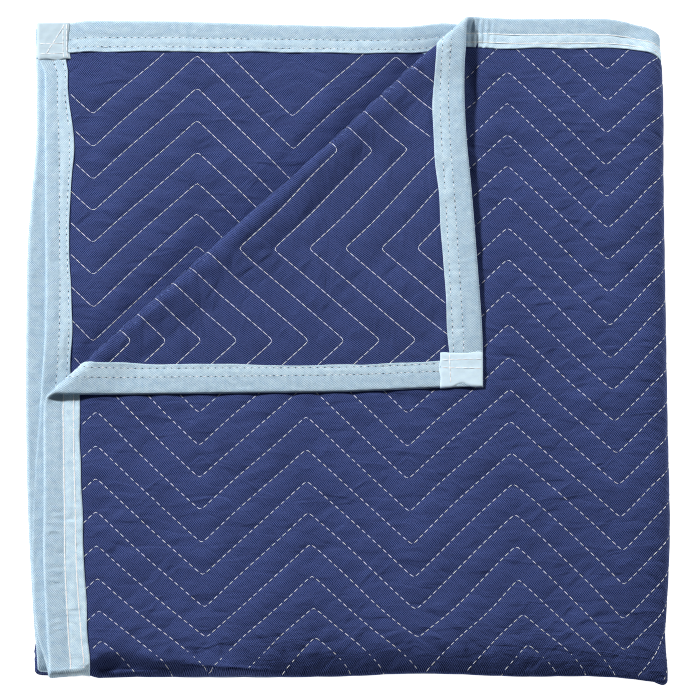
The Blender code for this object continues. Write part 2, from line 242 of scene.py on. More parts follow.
# How far in from its edge a tape's two rows of stitches and its hem lie, by side of the cloth
TAPE_KNOTS = {1: (0.0142, 0.0215, 0.0255), -1: (0.0106, 0.0177, 0.0215)}
# The same where they stray: (place along the tape, first row, second row, hem)
TAPE_LINES = {
    ("binding_top_end", 1): mm(
        (280, 14.2, 21.5, 25.5), (360, 14.6, 22, 26.6), (430, 15.6, 23.6, 29.4), (515, 15.6, 25, 29.8),
    ),
    ("binding_top_end", -1): mm(
        (30, 13.2, 19.3, 21.5), (133, 13.4, 19.5, 21.7), (205, 13.4, 20.2, 23.4), (285, 13.4, 20.8, 25),
        (320, 13.4, 20.8, 25), (550, 10.6, 17.7, 21.5), (700, 10.6, 17.7, 21.5), (779, 10.6, 17.7, 20),
        (870, 10.6, 15.8, 17.5), (952, 10.2, 17.7, 20.5), (976, 9.4, 15.2, 17.1),
        (990, 9.4, 15.2, 17.3), (1001, 9.6, 16.2, 18.5), (1014, 10.6, 17.7, 21.5),
    ),
    ("binding_upper_side", -1): mm(
        (0, 13, 19.6, 22.2), (30, 13.4, 20.6, 23.6), (120, 13, 19.7, 23.7), (210, 11.8, 17.8, 23.2),
        (260, 11.2, 17.2, 21.6), (330, 11, 17.2, 21.5),
    ),
    ("binding_under_side", -1): mm(
        (0, 14.7, 22.2, 25.8), (90, 14.3, 21.8, 25.4), (184, 12.8, 20.2, 23.4), (284, 11.6, 19, 22.2),
        (400, 10.6, 17.7, 21.5),
    ),
}
# How far the turned-over corner's right edge has crept: (place along the cloth, shift along x)
FLAP_STRAY = mm(
    (0, -0.8), (40, 0.3), (100, -1.1), (160, -3.2), (213, -6), (240, -6.2), (262, -5.2), (285, -3),
    (300, -2),
)
# How far the quilting is carried back where it goes round the right folds: (place across the cloth, shift)
EDGE_LIFT = mm(
    (50, 5), (250, 6), (420, 8.5), (455, 12), (480, 19), (500, 26), (525, 20),
)
EDGE_LIFT_U = 0.418
EDGE_LIFT_RUN = 0.034
EDGE_LIFT_LIMIT = 0.037
EDGE_LIFT_POWER = 2.8
EDGE_LIFT_END_U = 0.5

# Each tape: (flat corner that it starts from, way along, way inward, length of its edge, part that shows)
EDGES = {
    "binding_top_end": ((0.0, 0.0), (0.0, 1.0), (1.0, 0.0), CLOTH_WIDTH, (0.0, 1.04)),
    "binding_inner_end": ((CLOTH_LENGTH, 0.0), (0.0, 1.0), (-1.0, 0.0), CLOTH_WIDTH, (0.50, 1.04)),
    "binding_upper_side": ((0.0, 0.0), (1.0, 0.0), (0.0, 1.0), CLOTH_LENGTH, (0.0, 0.50)),
    "binding_under_side": ((0.0, CLOTH_WIDTH), (1.0, 0.0), (0.0, -1.0), CLOTH_LENGTH, (0.0, 0.50)),
}
END_TAPE_SETBACK = 0.004
TAPE_THICK = 0.0006
TAPE_HIGH = 0.0015
SEWN_DIP = 0.00035
SEAM_PUFF = 0.0004
EDGE_ROUND = 0.0022
# Tape colour: from the edge to the first seam a darker tone, partly painted shade of the tape rounding over
# the edge and partly its own tone; LIGHT_SHARE is how much of the lighter tone lies inward of that seam, by
# side
ZONE_BLUR = 0.0004
LIGHT_SHARE = {1: 1.0, -1: 0.55}
# A painted highlight along the tape's folded edge, and how far in it reaches
PAINTED_EDGE_HIGHLIGHT = 0.5
PAINTED_HIGHLIGHT_REACH = 0.0016
HEM_WOBBLE = 0.0005
TAPE_WRINKLE = 0.00016
TAPE_WAVE = 0.00022
HELD_REACH = 0.0016
HELD_SHARE = 0.6
GATHER_RISE = 0.001
GATHER_PLACE = (0.3185, 0.0095)
GATHER_LENGTH = 0.0046
SHUT_RUN = 0.0018
SHUT_LEAST = 0.04
SECTION_PARTS = (9, 6, 4)

# Fineness of the meshes: where cloth turns tightly, steps along a tape, and lines of the panel's grid
TIGHT_FOLDS = (
    TOP_RUN + WIDE_ARC + MIDDLE_RUN + TIGHT_ARC / 2,
    TOP_RUN + WIDE_ARC + 2 * MIDDLE_RUN + TIGHT_ARC * 1.5,
)
TIGHT_REACH = 0.013
TAPE_TIGHT_REACH = 0.014
TAPE_END_REACH = 0.002
TIGHT_STEP = 0.0008
FINE_STEP = 0.0013
COARSE_STEP = 0.006
FOLD_BAND = 0.015
HALF_LINES = [0.06, 0.12, 0.19, 0.26, 0.36, 0.5, 0.72, 1.0]
FOLD_LINES = np.array([-line for line in HALF_LINES[::-1]] + [0.0] + HALF_LINES)
COLUMNS_A_RUN = 25
MERGED_COLUMNS = 5
PAST_ENDS = 0.02
# Where grid lines lie from one quilting row to the next, and which one each merges with inside the stack
ROW_PARTS = np.array([0.0, 0.07, 0.2, 0.5, 0.8, 0.93])
MERGED_PARTS = np.array([0, 0, 0, 3, 3, 6])
# Quilting bands in front of and behind the front fold: (first row, last row, lowest and highest place across)
QUILTING_BANDS = ((-7, 20, -1.0, FRONT_FOLD_V - FOLD_BAND), (15, 43, FRONT_FOLD_V + FOLD_BAND, 2.0))

# What shows of the stack: places along the cloth, across it past the front fold, and beyond the crease
SHOWN_U = 0.485
SHOWN_PAST_FOLD = 0.01
SHOWN_BEYOND = -0.045
TOP_STITCHES_U = 0.49
UNDER_STITCHES_U = 0.905
UNDER_STITCHES_GAP = 0.006
BACK_STITCHES_U = 0.44
BACK_STITCHES_PAST_FOLD = 0.05
BACK_STITCHES_BEYOND = -0.03
TURNED_STITCHES_BEYOND = -0.002
TAPE_STITCHES_U = 0.92
HEM_CLEAR = 0.0004

STITCH_SIDES = 5
# Rings of a stitch: (share of its start, of its middle and of its end, width)
STITCH_RINGS = ((0.75, 0.25, 0.0, 0.75), (0.0, 1.0, 0.0, 1.0), (0.0, 0.25, 0.75, 0.75))
# Height of a stitch's ends where it lies apart from the next, and where they meet
STITCH_ENDS = (-0.0002, 0.0001)
# Shares of the pitch: where the first stitch begins, and the least dash of stitches that meet
FIRST_STITCH, CLOSE_DASH = 0.3, 0.9
TAPE_SEAM_HEIGHT = 0.00115
PATCH_SEAM_HEIGHT = 0.00205
SEAM_END_GAP = 0.014
# How far after the back stitches the dark dashes of painted needle-hole shade start
HOLES_LATER = 0.0028

# Corner patches
PATCH_POINTS = 34
PATCH_LAP = 0.0006
PATCH_HIGH = 0.0016
PATCH_WRINKLE = 0.00012
PATCH_BULGE = 0.0005
PATCH_BULGE_RUN = 0.002
PATCH_RIM = 0.0022
PATCH_THICK = 0.0005
# By name: flat corner, ways inward, size, notch, least and most brightness (lower on the back patch as
# # painted shade), stitch radius, and seams as (from u, from v, to u, to v), inward from the corner
PATCHES = {
    "flap": ((0.0, 0.0), (1, 1), (0.0277, 0.0301), 0.0030, (0.96, 1.05), 0.00048, mm(
        (22.0, 30.0, 21.8, 0.0), (16.0, 30.0, 14.0, 0.0), (27.7, 23.5, -1.0, 22.5),
    )),
    # The back patch: the same tape as the flap's, darker as painted shade
    "back": ((0.0, CLOTH_WIDTH), (1, -1), (0.0230, 0.0306), 0.0, (0.72, 0.80), 0.00042, mm(
        (0.0, 18.0, 22.2, 17.6), (0.0, 26.4, 22.2, 25.8), (19.0, 0.5, 18.8, 30.0), (21.6, 0.5, 21.7, 30.0),
        (20.8, 1.0, 6.2, 26.2),
    )),
}

# Materials
WEAVE_ANGLE = math.radians(4)
WEAVE_WOBBLE = 0.55
WEFT_STRETCH = 1.35
GRAIN_SHARE = 0.4
GATHER_STRETCH = (1.0, 0.28, 0.0)
NOISE_LOW, NOISE_HIGH = 0.3, 0.7
# Numbers of a Mix node's colours and of its result
MIX_FROM, MIX_TO, MIX_RESULT = 6, 7, 2


def curve_through(rows, at):
    """A smooth curve through (place, value) rows, level beyond its ends."""
    place, value = np.array(rows).T
    slope = np.gradient(value, place)
    i = np.clip(np.searchsorted(place, at) - 1, 0, len(place) - 2)
    step = place[i + 1] - place[i]
    t = np.clip((at - place[i]) / step, 0.0, 1.0)
    start = (1 + 2 * t) * (1 - t) ** 2 * value[i] + t * (1 - t) ** 2 * step * slope[i]
    end = t * t * (3 - 2 * t) * value[i + 1] + t * t * (t - 1) * step * slope[i + 1]
    return start + end


def ease(t):
    """A smooth step from 0 to 1."""
    t = np.clip(t, 0.0, 1.0)
    return t * t * (3 - 2 * t)


def ramp(value, start, end):
    """From 0 to 1 between two values."""
    return ease((value - start) / (end - start))


def fade(value, start, end):
    """From 1 to 0 between two values."""
    return 1 - ramp(value, start, end)


def quarter_round(t):
    """From 0 to 1 as the side of a circle rises."""
    return np.sqrt(1 - (1 - np.clip(t, 0.0, 1.0)) ** 2)


def bump_at(value, middle, width):
    """A soft rise, which is 1 at its middle."""
    return np.exp(-(((value - middle) / width) ** 2))


def rounded_ramp(t):
    """From 0 to 1, concave at first, with a crisp but rounded turn at its top."""
    short = 1 - np.clip(t, 0.0, None) ** EDGE_BOW
    return 1 - np.logaddexp(0.0, EDGE_CRISPNESS * short) / np.logaddexp(0.0, EDGE_CRISPNESS)


def ripple(p, q, length, seed):
    """A smooth random height of about 1, from waves of about the given length."""
    random = np.random.default_rng(seed)
    total = np.zeros(np.broadcast(p, q).shape)
    for _ in range(9):
        angle, phase = random.uniform(0, 2 * math.pi, 2)
        wave = 2 * math.pi / (length * random.uniform(0.7, 1.6))
        total = total + np.sin(wave * (p * math.cos(angle) + q * math.sin(angle)) + phase)
    return total / 3


def corners_of(route, start, heading):
    """Each corner of a route: how far along it is, its place, and the way that its left side faces."""
    at, (p, q) = 0.0, start
    corners = [(at, p, q, -math.sin(heading), math.cos(heading))]
    for length, radius, steps in route:
        for k in range(1, steps + 1):
            s = length * k / steps
            now = heading + (s / radius if radius else 0.0)
            if radius:
                ahead = radius * (math.sin(now) - math.sin(heading))
                up = radius * (math.cos(heading) - math.cos(now))
            else:
                ahead, up = s * math.cos(heading), s * math.sin(heading)
            corners.append((at + s, p + ahead, q + up, -math.sin(now), math.cos(now)))
        at, p, q = corners[-1][:3]
        heading = now
    return np.array(corners)


def walk(corners, along, aside):
    """Places at distances along a route and to its left."""
    p, q, left_p, left_q = (np.interp(along, corners[:, 0], column) for column in corners.T[1:])
    return p + aside * left_p, q + aside * left_q


LENGTH_CORNERS = corners_of(LENGTH_ROUTE, (TOP_END_X, TOP_PAIR_Z), 0.0)
WIDTH_CORNERS = corners_of(WIDTH_ROUTE, (FRONT_Y + WIDTH_ROUTE[0][0], FRONT_TURN), math.pi)
CREASE_CORNERS = corners_of(CREASE_ROUTE, (-PAST_CORNER, 0.0), 0.0)


def turned_over(x, y, z, h):
    """The top layer's back left corner, rolled up and over along the crease."""
    beyond = (y - x - CREASE_OFFSET) / math.sqrt(2)
    past_arc = np.maximum(beyond - CREASE_ARC, 0.0)
    beside = (x + y) / math.sqrt(2) + CORNER_SHEAR * past_arc
    across, up = walk(CREASE_CORNERS, PAST_CORNER + beyond + CORNER_STRETCH * past_arc, h)
    across = across + CREASE_OFFSET / math.sqrt(2)
    return (beside - across) / math.sqrt(2), (beside + across) / math.sqrt(2), z + up


def turn_corner(u, v, h, x, y, z):
    """The stack's points with its corner turned over, and which of them have turned."""
    past = y - x - CREASE_OFFSET
    over = (u < TOP_RUN) & (v < FRONT_FOLD_V - FRONT_ARC) & (past > 0)
    crept = curve_through(FLAP_STRAY, u) * fade(v, *CREPT_FADES_V) * ease(past / math.sqrt(2) / CREASE_ARC)
    flatter = CREASE_FLAT * fade(u, *CREASE_FLAT_U) * ease(past / CREASE_FLAT_RUN)
    level = z - h
    x[over], y[over], z[over] = turned_over(x[over], y[over], level[over], h[over])
    reach = np.where(u < TIP_RISE_U, *TIP_RISE_REACH)
    perked = TIP_RISE * bump_at(u, TIP_RISE_U, reach) * fade(v, *TIP_RISE_V)
    raised = CORNER_RAISE * fade(v, *CORNER_RAISE_V) * fade(u, *CORNER_RAISE_U)
    x = x + np.where(over, crept, 0.0)
    y = y + np.where(over, raised, 0.0)
    z = z + np.where(over, perked - flatter * (z - level), 0.0)
    beyond = (y - x - CREASE_OFFSET) / math.sqrt(2)
    sunk = CREASE_SINK * fade(beyond, *SINK_ASIDE) * fade(u, *SINK_U) * ramp(v, *SINK_V)
    return x, y, z - sunk, over


def height_kept(u, v, x, y):
    """The share of its height that the stack keeps, which is less at front folds and right corners."""
    fold_gap = np.abs(v - FRONT_FOLD_V)
    along = np.where(u < SHOWN_FRONT, u, HIDDEN_FRONT)
    low = curve_through(FRONT_LOW, along)
    pressed = low + (1 - low) * rounded_ramp(fold_gap / curve_through(PRESSED_EDGE, along))
    pressed = pressed + LIP_RISE * bump_at(fold_gap, *LIP_PLACE)
    kept = pressed + (curve_through(SOFT_PRESS, fold_gap) - pressed) * ramp(along, *SOFT_FROM)
    kept = kept * (1 - RIGHT_TAPER * (x - LEFT_TURN_X) / MIDDLE_RUN)
    for share, x_from, x_to, y_from, y_to in DROOPS:
        kept = kept * (1 - share * ramp(x, x_from, x_to) * ramp(y, y_from, y_to))
    return kept


def dented(x, y, z, over):
    """Heights with the dip and the soft creases, which the turned-over corner hasn't."""
    for place_x, place_y, reach, width, way, rise in DENTS:
        turn = math.radians(way)
        along = (x - place_x) * math.cos(turn) + (y - place_y) * math.sin(turn)
        aside = (y - place_y) * math.cos(turn) - (x - place_x) * math.sin(turn)
        shape = np.exp(-((along / reach) ** 2) - (aside / width) ** 2) * np.where(over, 0.0, 1.0)
        z = z + rise * shape * ease(z / DENT_DEPTH)
    return z


def fold(flat):
    """Folded places of flat (u, v, h) points."""
    u, v, h = np.asarray(flat, float).T
    y, w = walk(WIDTH_CORNERS, v, -h)
    slide = curve_through(TOP_END_STRAY, v) * fade(u, *STRAY_FADES_U)
    slide = slide - PULLED_OUT * ramp(v, *PULLED_OUT_V) * fade(u, *PULLED_OUT_U)
    x, z = walk(LENGTH_CORNERS, u + slide, w)
    x = x + np.minimum(u + slide, 0.0)
    x, y, z, over = turn_corner(u, v, h, x, y, z)

    inner = np.clip(1 - (CLOTH_LENGTH - u) / INNER_RUN, 0.0, None)
    x = x + curve_through(INNER_END_STRAY, v) * inner
    x = x + curve_through(RIGHT_STRAY, y) * np.maximum((x - LEFT_TURN_X) / MIDDLE_RUN, 0.0)
    y = y + curve_through(FRONT_SETBACK, u) * fade(np.abs(v - FRONT_FOLD_V), 0.0, SETBACK_REACH)
    y = y + np.interp(u, *np.transpose(BACK_STRAY)) * ramp(y, BACK_Y - BACK_REACH, BACK_Y)
    y = y + TIP_GATHER * bump_at(u, *TIP_GATHER_PLACE) * ramp(v, *TIP_GATHER_V)

    z = dented(x, y, (z - BASE_DROP) * height_kept(u, v, x, y), over)
    return np.column_stack([x + CAD_SHIFT[0], y + CAD_SHIFT[1], np.maximum(z, FLOOR_CLEAR)])


def place_of_row(row):
    """How far across the cloth a quilting row lies."""
    return np.interp(row, *np.transpose(ROW_PLACES)[::-1])


def zigzag(u):
    """How many rows a quilting line has gone across the cloth, from its slightly rounded peak."""
    turns = (u - FIRST_PEAK_U) / ZIGZAG_LENGTH
    return ZIGZAG_ROWS * np.arccos((1 - APEX_ROUND) * np.cos(2 * math.pi * turns)) / math.pi


def pull(u, v):
    """How far the cloth carries a place on a quilting line askew, along it and across it."""
    near, along, across = (np.zeros(np.broadcast(u, v).shape) for _ in range(3))
    for place_u, place_v, slide, shift in QUILTING_PULL:
        weight = np.exp(-((u - place_u) ** 2 + (v - place_v) ** 2) / (2 * PULL_REACH**2))
        near = near + weight
        along = along + weight * slide
        across = across + weight * shift
    return along / (near + PULL_EASE), across / (near + PULL_EASE)


def on_cloth(u, row):
    """Flat (u, v) of a quilting line at a place along it."""
    v = place_of_row(row + zigzag(u))
    slide, shift = pull(u, v)
    past = np.clip(u - EDGE_LIFT_U, 0.0, EDGE_LIFT_LIMIT) / EDGE_LIFT_RUN
    lift = curve_through(EDGE_LIFT, v) * past**EDGE_LIFT_POWER * (u < EDGE_LIFT_END_U)
    return u + slide, v + shift - lift


def tape_lines(node_name, side, at):
    """How far in from its edge a tape's two rows of stitches and its hem lie, at places along it."""
    plain = [(place, *TAPE_KNOTS[side]) for place in (0.0, 1.0)]
    rows = np.array(TAPE_LINES.get((node_name, side), plain))
    return [curve_through(rows[:, (0, k)], at) for k in (1, 2, 3)]


def inside_hems(u, v, side):
    """How far a place on the cloth is from the nearest tape's hem."""
    near = np.inf
    for node_name, (start, along, inward, *_) in EDGES.items():
        at = u * along[0] + v * along[1]
        depth = (u - start[0]) * inward[0] + (v - start[1]) * inward[1]
        near = np.minimum(near, depth - tape_lines(node_name, side, at)[2])
    return near


def row_gap(row):
    """How far a place is from the nearest quilting row, from 0 on it to 1 midway."""
    return np.clip(2 * np.abs(row - np.minimum(np.round(row), LAST_ROW)), 0.0, 1.0)


def half_thickness(u, v, row, side):
    """Half the panel's thickness: plump between quilting rows, and thin under the binding."""
    plump = 1 - (1 - row_gap(row)) ** PLUMPNESS
    plump = plump * (1 + UNEVEN_PLUMP * ripple(u, v, length=0.030, seed=5))
    half = SEAM_HALF + (CROWN_HALF - SEAM_HALF) * np.clip(plump, 0.0, CROWN_LIMIT)
    front = fade(np.abs(v - FRONT_FOLD_V), 0.0, TAUT_REACH)
    right = fade(np.abs(u - RIGHT_FOLD_U), RIGHT_FOLD_FLAT, RIGHT_FOLD_FLAT + TAUT_REACH)
    half = half + (FOLDED_HALF - half) * TAUT_SHARE * np.maximum(front, right)
    puffed = np.sqrt(np.clip((inside_hems(u, v, side) - UNDER_HEM[side]) / PUFF_RUN, 0.0, 1.0))
    return BOUND_HALF + (half - BOUND_HALF) * puffed


def add_object(name, data):
    made = bpy.data.objects.new(name, data)
    bpy.context.scene.collection.objects.link(made)
    return made


def add_piece(name, points, faces, material):
    """Adds a mesh as one object, which rides on the part."""
    mesh = bpy.data.meshes.new(name)
    mesh.from_pydata(points.tolist(), [], faces)
    mesh.shade_smooth()
    mesh.materials.append(material)
    piece = add_object(name, mesh)
    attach(piece, "root")
    return piece


def folded_piece(name, flat, faces, material):
    """Folds a closed flat mesh, turns its faces outwards and adds it, with its flat places for the weave."""
    points = fold(flat)
    corners = np.array([face[:3] for face in faces] + [(f[0], f[2], f[3]) for f in faces if len(f) == 4])
    a, b, c = (points[corners[:, k]] for k in range(3))
    if np.einsum("ij,ij->i", a, np.cross(b, c)).sum() < 0:
        faces = [face[::-1] for face in faces]
    piece = add_piece(name, points, faces, material)
    add_attribute(piece, "flat", np.asarray(flat) * (1.0, 1.0, 0.0))
    return piece


def add_attribute(piece, name, values):
    """Gives each point of a piece a number or a vector, which its material reads."""
    kind, field = ("FLOAT", "value") if values.ndim == 1 else ("FLOAT_VECTOR", "vector")
    piece.data.attributes.new(name, kind, "POINT").data.foreach_set(field, values.ravel())


def nodes_for(name):
    """A new material's maker of nodes, and its setter of the shader's inputs, which gives the material."""
    material = bpy.data.materials.new(name)
    material.use_nodes = True
    tree = material.node_tree

    def set_inputs(made, inputs):
        for key, value in inputs.items():
            if isinstance(value, bpy.types.NodeSocket):
                tree.links.new(value, made.inputs[key])
            else:
                made.inputs[key].default_value = value

    def node(kind, inputs, **settings):
        made = tree.nodes.new("ShaderNode" + kind)
        for key, value in settings.items():
            setattr(made, key, value)
        set_inputs(made, inputs)
        return made

    def shade(inputs):
        set_inputs(tree.nodes["Principled BSDF"], inputs)
        return material

    return node, shade


def calc(node, operation, *values):
    """A math node's result."""
    return node("Math", dict(enumerate(values)), operation=operation).outputs[0]


def vector_calc(node, operation, *values):
    """A vector math node's result."""
    return node("VectorMath", dict(enumerate(values)), operation=operation).outputs[0]


def attribute(node, name, output):
    """What a piece's mesh holds at each point."""
    return node("Attribute", {}, attribute_name=name).outputs[output]


def noise(node, place, scale, detail, output="Fac", **more):
    """Soft random values over a place."""
    return node("TexNoise", {"Vector": place, "Scale": scale, "Detail": detail, **more}).outputs[output]


def bumped(node, height, strength, depth, **under):
    """A surface raised by a height, over another one if its Normal is given."""
    return node("Bump", {"Height": height, "Strength": strength, "Distance": depth, **under}).outputs[0]


def weave_height(node, pitch, angle, grain_scale):
    """The flat place on the cloth, and the height of a dotted diagonal weave there, from 0 to 1."""
    flat = attribute(node, "flat", "Vector")
    wobble = noise(node, flat, scale=260.0, detail=1.0, output="Color")
    wobbled = vector_calc(node, "MULTIPLY_ADD", wobble, (pitch * WEAVE_WOBBLE,) * 3, flat)
    waves = []
    for turn, stretch in ((angle, 1.0), (angle + math.pi / 2, WEFT_STRETCH)):
        turning = {"Vector": wobbled, "Axis": (0, 0, 1), "Angle": turn}
        turned = node("VectorRotate", turning, rotation_type="AXIS_ANGLE").outputs[0]
        along = node("SeparateXYZ", {0: turned}).outputs["X"]
        waves.append(calc(node, "SINE", calc(node, "MULTIPLY", along, 2 * math.pi / (pitch * stretch))))
    raised = calc(node, "MULTIPLY_ADD", calc(node, "MULTIPLY", *waves), 0.5, 0.5)
    grain = noise(node, flat, grain_scale, detail=3.0)
    mixed = node("Mix", {"Factor": GRAIN_SHARE, "A": raised, "B": grain}, data_type="FLOAT")
    return flat, mixed.outputs[0]


def wrinkles(node, flat, stretch, scale, depth):
    """Soft wrinkles finer than the mesh, as a bump."""
    longer = vector_calc(node, "MULTIPLY", flat, stretch)
    return bumped(node, noise(node, longer, scale, detail=3.0, Distortion=0.8), 1.0, depth)


def two_tones(node, height, dark, light, spread):
    """A dark colour where the height is low, and a light one where it is high."""
    tones = node("ValToRGB", {"Fac": height})
    for element, place, colour in zip(tones.color_ramp.elements, (0.5 - spread, 0.5 + spread), (dark, light)):
        element.position = place
        element.color = (*colour, 1.0)
    return tones.outputs["Color"]


def varied(node, colour, flat, scale, least, most):
    """A colour with soft patches, from least to most of its red, green and blue."""
    patch = noise(node, flat, scale, detail=4.0, Roughness=0.65)
    gain = [(high - low) / (NOISE_HIGH - NOISE_LOW) for low, high in zip(least, most)]
    start = [low - NOISE_LOW * rise for low, rise in zip(least, gain)]
    return vector_calc(node, "MULTIPLY", colour, vector_calc(node, "MULTIPLY_ADD", patch, gain, start))


def quilted_cloth():
    """Navy cloth with a light sheen, which gathers beside its quilting rows."""
    node, shade = nodes_for("quilted_cloth")
    flat, height = weave_height(node, 0.00150, WEAVE_ANGLE, grain_scale=1000.0)
    colour = two_tones(node, height, dark=(0.005, 0.014, 0.075), light=(0.074, 0.105, 0.290), spread=0.12)
    colour = varied(node, colour, flat, 24.0, least=(0.88, 0.88, 0.88), most=(1.12, 1.12, 1.12))
    quilt = attribute(node, "quilt", "Vector")
    gathered = noise(node, vector_calc(node, "MULTIPLY", quilt, GATHER_STRETCH), 80.0, 2.0, Distortion=0.5)
    loose = node("SeparateXYZ", {0: quilt}).outputs["Z"]
    puckers = calc(node, "MULTIPLY", calc(node, "SUBTRACT", gathered, 0.5), loose)
    wrinkled = wrinkles(node, flat, stretch=(0.35, 1.0, 1.0), scale=110.0, depth=0.0021)
    wrinkled = bumped(node, puckers, strength=1.0, depth=0.0040, Normal=wrinkled)
    return shade({
        "Base Color": colour,
        "Normal": bumped(node, height, strength=0.7, depth=0.0004, Normal=wrinkled),
        "Roughness": 0.85,
        "Specular IOR Level": 0.15,
        "Sheen Weight": 0.9,
        "Sheen Roughness": 0.28,
        "Sheen Tint": (0.45, 0.58, 1.0, 1.0),
    })


def binding_tape():
    """Pale blue tape: darker up to its first seam, partly its own tone and partly painted shade of its
    rounded edge, and lighter from there to its hem, with a painted highlight along that edge.
    """
    node, shade = nodes_for("binding_tape")
    flat, height = weave_height(node, 0.00140, WEAVE_ANGLE, grain_scale=1100.0)
    # The darker outer tone is partly painted shade of the rounded edge; the inner one is the tape's own
    # lighter tone
    outer = two_tones(node, height, dark=(0.33, 0.485, 0.62), light=(0.635, 0.80, 0.92), spread=0.18)
    inner = two_tones(node, height, dark=(0.51, 0.72, 0.89), light=(0.79, 0.94, 1.0), spread=0.20)
    tone_and_painted_light = attribute(node, "tone_and_painted_light", "Fac")
    mixed = node("Mix", {0: tone_and_painted_light, MIX_FROM: outer, MIX_TO: inner}, data_type="RGBA").outputs[MIX_RESULT]
    wrinkled = wrinkles(node, flat, stretch=(1.0, 1.0, 1.0), scale=260.0, depth=0.0011)
    return shade({
        "Base Color": varied(node, mixed, flat, 190.0, least=(0.78, 0.85, 0.91), most=(1.13, 1.09, 1.06)),
        "Normal": bumped(node, height, strength=0.7, depth=0.0004, Normal=wrinkled),
        "Roughness": 0.85,
        "Specular IOR Level": 0.2,
    })


def smooth_tape(name, least, most):
    """The finer side of the tape, which the corner patches show; the back patch's darker copy is painted
    shade.
    """
    node, shade = nodes_for(name)
    flat, height = weave_height(node, 0.0009, math.radians(45), grain_scale=1500.0)
    colour = two_tones(node, height, dark=(0.64, 0.82, 0.99), light=(0.76, 0.94, 1.0), spread=0.3)
    return shade({
        "Base Color": varied(node, colour, flat, 90.0, [least] * 3, [most] * 3),
        "Normal": bumped(node, height, strength=0.3, depth=0.0002),
        "Roughness": 0.7,
    })


def thread(name, dark, light=(1.0, 1.0, 1.0)):
    node, shade = nodes_for(name)
    twist = noise(node, node("TexCoord", {}).outputs["Object"], scale=900.0, detail=2.0)
    return shade({
        "Base Color": two_tones(node, twist, dark, light, spread=0.2),
        "Normal": bumped(node, twist, strength=0.4, depth=0.0002),
        "Roughness": 0.7,
    })


def two_sided(flat_uv, cells, heights):
    """Closes a flat mesh of (u, v) points into a solid: face side up, back side down, walls between."""
    count = len(flat_uv)
    flat = np.concatenate([np.column_stack([flat_uv, h]) for h in heights])
    ends = np.array([(cell[k], cell[(k + 1) % len(cell)]) for cell in cells for k in range(len(cell))])
    _, first, times = np.unique(np.sort(ends, axis=1), axis=0, return_index=True, return_counts=True)
    walls = [(b, a, a + count, b + count) for a, b in ends[first[times == 1]].tolist()]
    backs = [tuple(i + count for i in cell[::-1]) for cell in cells]
    return flat, list(cells) + backs + walls


def grid_quads(index):
    """The quads between neighbouring points of a grid."""
    corners = [index[:-1, :-1], index[1:, :-1], index[1:, 1:], index[:-1, 1:]]
    return np.stack(corners, axis=-1).reshape(-1, 4)


def closed_sheet(outer, inner):
    """A closed shell between two grids of flat points."""
    rows, columns = outer.shape[:2]
    offset = rows * columns
    index = np.arange(offset).reshape(rows, columns)
    quads = grid_quads(index)
    border = np.concatenate([index[:, 0], index[-1, 1:], index[-2::-1, -1], index[0, -2:0:-1]])
    following = np.roll(border, -1)
    walls = np.stack([following, border, border + offset, following + offset], axis=-1)
    faces = np.concatenate([quads, quads[:, ::-1] + offset, walls]).tolist()
    return np.concatenate([outer.reshape(-1, 3), inner.reshape(-1, 3)]), faces


def quilting_band(columns, first_row, last_row, low, high):
    """The panel's grid along quilting rows, cut at the front fold, and the line each merges with."""
    rows = (np.arange(first_row, last_row)[:, None] + ROW_PARTS).ravel()[None, :]
    u, v = on_cloth(columns, rows)
    edge = np.clip(v, low, high)
    cut = low if low > 0 else high
    at_edge = columns + pull(columns, np.full(columns.shape, cut))[0]
    part = np.arange(rows.size) % len(ROW_PARTS)
    kept = np.minimum(np.arange(rows.size) - part + MERGED_PARTS[part], rows.size - 1)
    return np.where(edge == v, u, at_edge), edge, np.broadcast_to(rows, u.shape), kept


def fold_band(columns):
    """The panel's grid round the front fold, where its lines run straight."""
    v = np.broadcast_to(FRONT_FOLD_V + FOLD_BAND * FOLD_LINES[None, :], (len(columns), len(FOLD_LINES)))
    slide, shift = pull(columns, v)
    row = np.interp(v - shift, *np.transpose(ROW_PLACES)) - zigzag(columns)
    return columns + slide, v, row, np.arange(len(FOLD_LINES))


